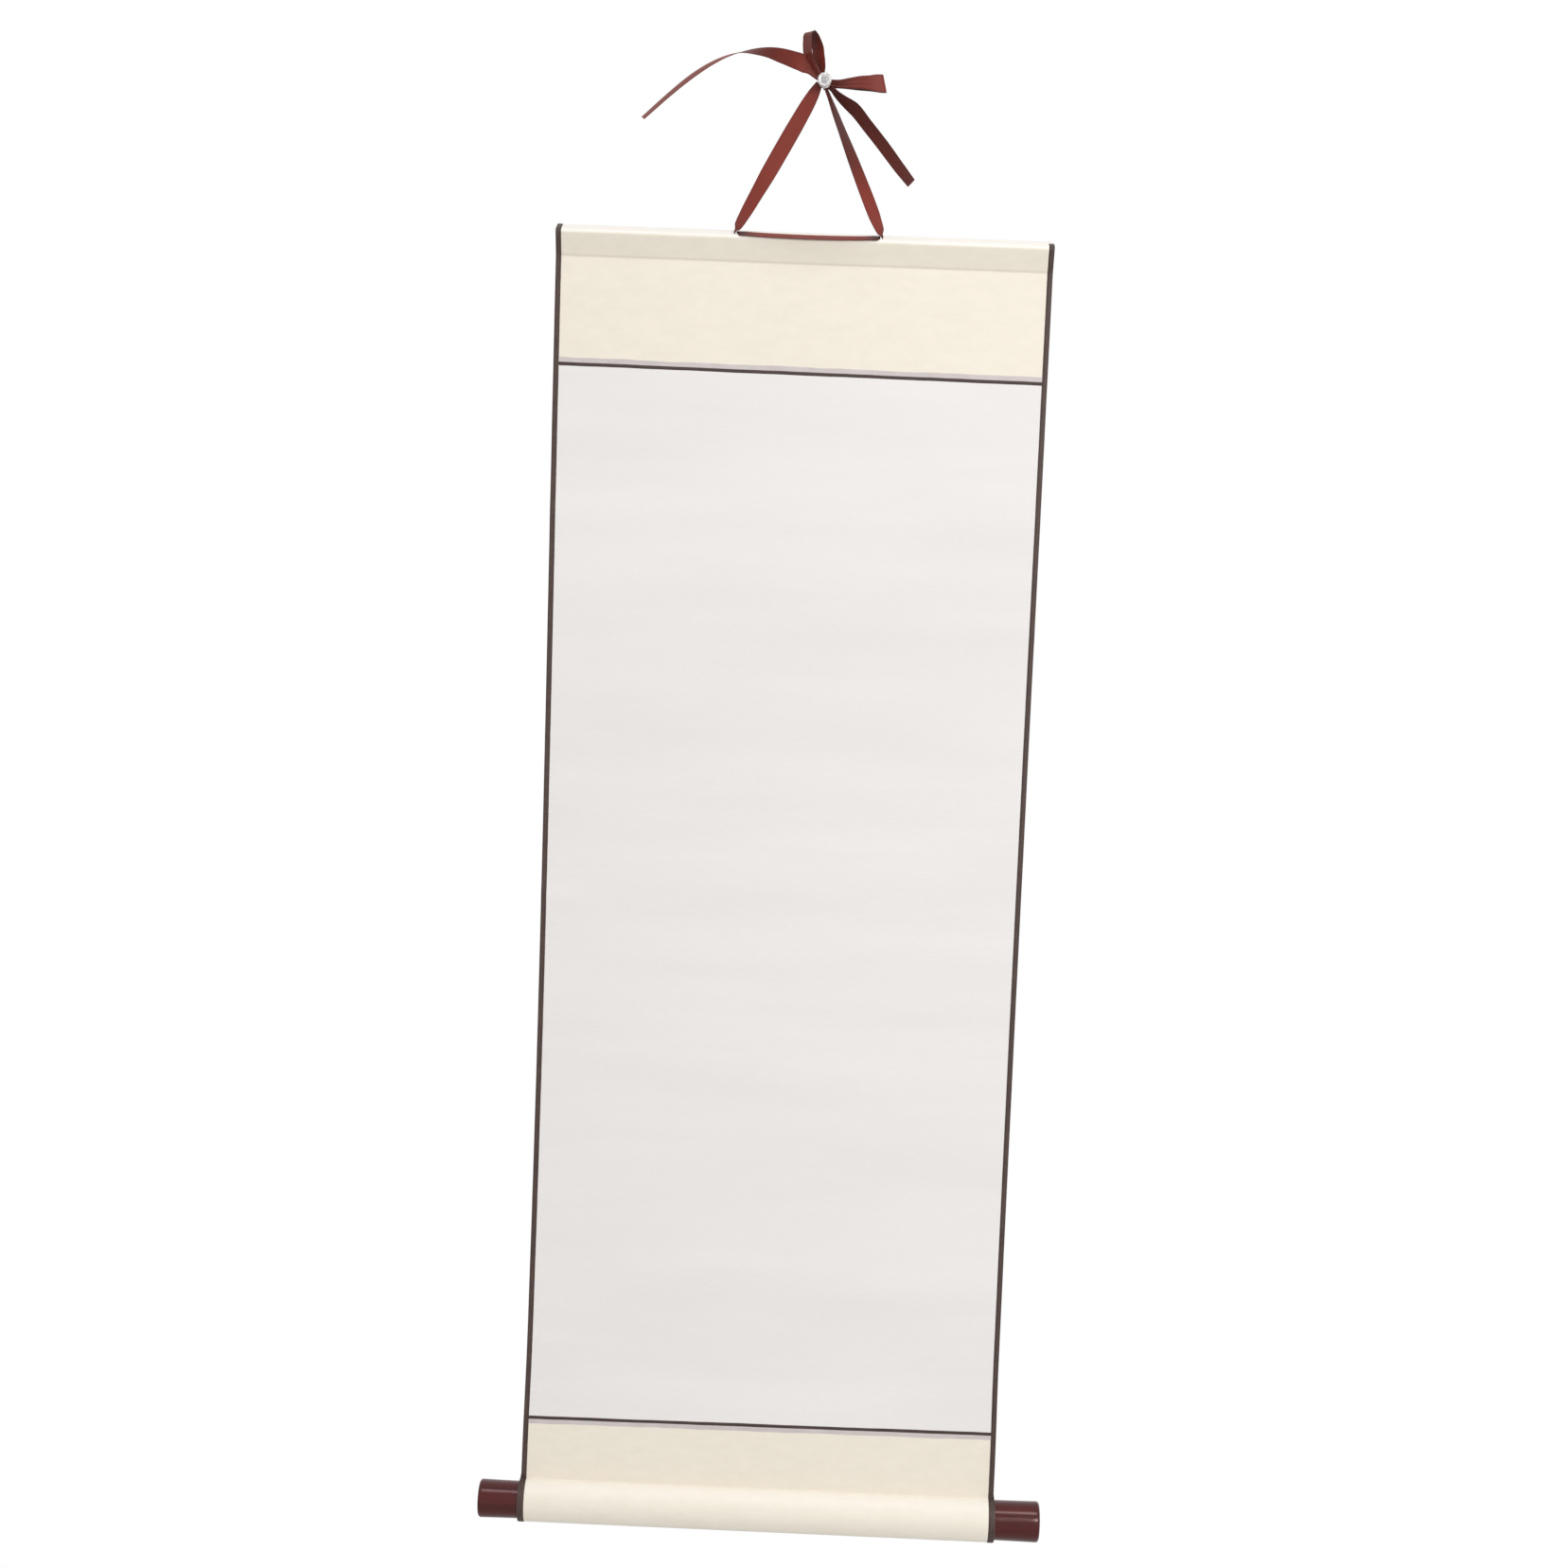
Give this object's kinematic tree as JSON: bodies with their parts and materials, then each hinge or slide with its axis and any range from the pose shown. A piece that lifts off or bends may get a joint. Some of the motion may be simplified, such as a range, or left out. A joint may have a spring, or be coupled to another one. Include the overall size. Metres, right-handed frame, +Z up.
{
  "type": "hanging scroll",
  "caption": "Blank hanging scroll: a paper panel between silk panels, a batten on top, a roller with turned knobs below, and a satin ribbon tied in a bow round a clear push pin.",
  "frame": {"origin": "where the push pin's axis meets the wall's face", "axes": "+Z up along the hanging sheet, +Y into the wall along the pin, +X to the right of someone who faces the scroll"},
  "size_m": [0.416, 0.0397, 1.0877],
  "materials": {
    "backing": "plain backing paper",
    "edging": "dark brown paper strip",
    "silk": "cream silk, faintly mottled",
    "accent": "grey-lilac paper strip",
    "paper": "soft off-white painting paper",
    "wood": "plain softwood",
    "knob": "dark red lacquer",
    "wire": "plain steel",
    "ribbon": "brick red satin",
    "grip": "clear polished plastic"
  },
  "bodies": {
    "root": {"backing_paper": "backing", "left_edging": "edging", "right_edging": "edging", "upper_silk": "silk", "upper_accent_strip": "accent", "upper_line_strip": "edging", "painting_paper": "paper", "lower_line_strip": "edging", "lower_accent_strip": "accent", "lower_silk": "silk", "top_batten": "wood", "roller_core": "wood", "left_knob": "knob", "right_knob": "knob", "left_staple": "wire", "right_staple": "wire", "hanging_ribbon": "ribbon", "pin_grip": "grip", "pin_point": "wire"}
  },
  "joints": []
}
